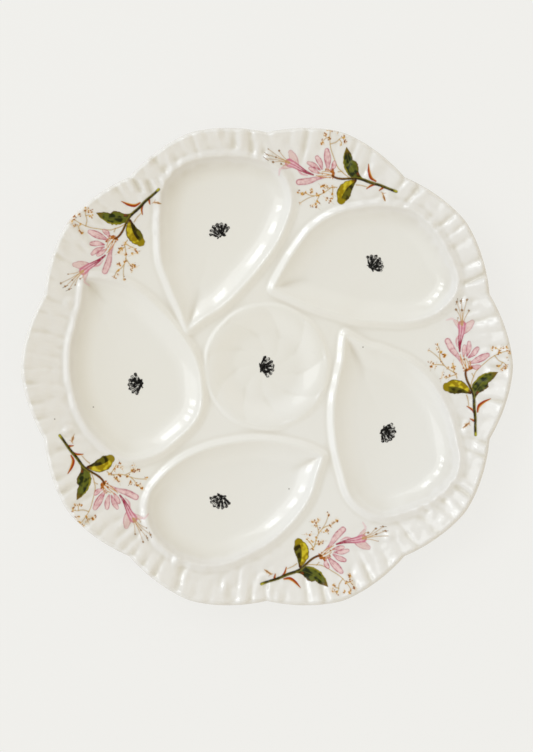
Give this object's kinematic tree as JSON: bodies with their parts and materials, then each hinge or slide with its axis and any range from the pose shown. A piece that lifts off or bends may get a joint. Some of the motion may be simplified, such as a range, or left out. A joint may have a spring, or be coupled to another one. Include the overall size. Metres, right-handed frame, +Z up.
{
  "type": "oyster plate",
  "caption": "Round lobed ceramic plate with deep teardrop wells round a scalloped middle well, a fluted rim, flower sprays and a foot ring, for serving oysters or other small food.",
  "frame": {"origin": "On the table, at the middle of the foot ring's lower face", "axes": "+Z up out of the wells, +X along the line through two opposite lobe tips, +Y through a notch between two lobes"},
  "size_m": [0.2344, 0.2272, 0.0224],
  "materials": {
    "glaze": "clear glossy glaze over an off-white body",
    "bare_clay": "unglazed, finely ground foot",
    "stem_print": "fired overglaze print, dark olive brown",
    "leaf_print": "fired overglaze print, olive and yellow green",
    "blossom_print": "fired overglaze print, washed rose pink",
    "berry_print": "fired overglaze print, golden brown",
    "ink_print": "fired overglaze print, soft black"
  },
  "bodies": {
    "root": {"plate_body": "glaze", "foot_ring": "bare_clay", "spray_1_stem": "stem_print", "spray_1_leaves": "leaf_print", "spray_1_blossom": "blossom_print", "spray_1_berries": "berry_print", "spray_2_stem": "stem_print", "spray_2_leaves": "leaf_print", "spray_2_blossom": "blossom_print", "spray_2_berries": "berry_print", "spray_3_stem": "stem_print", "spray_3_leaves": "leaf_print", "spray_3_blossom": "blossom_print", "spray_3_berries": "berry_print", "spray_4_stem": "stem_print", "spray_4_leaves": "leaf_print", "spray_4_blossom": "blossom_print", "spray_4_berries": "berry_print", "spray_5_stem": "stem_print", "spray_5_leaves": "leaf_print", "spray_5_blossom": "blossom_print", "spray_5_berries": "berry_print", "shell_mark_1": "ink_print", "shell_mark_2": "ink_print", "shell_mark_3": "ink_print", "shell_mark_4": "ink_print", "shell_mark_5": "ink_print", "shell_mark_middle": "ink_print"}
  },
  "joints": []
}
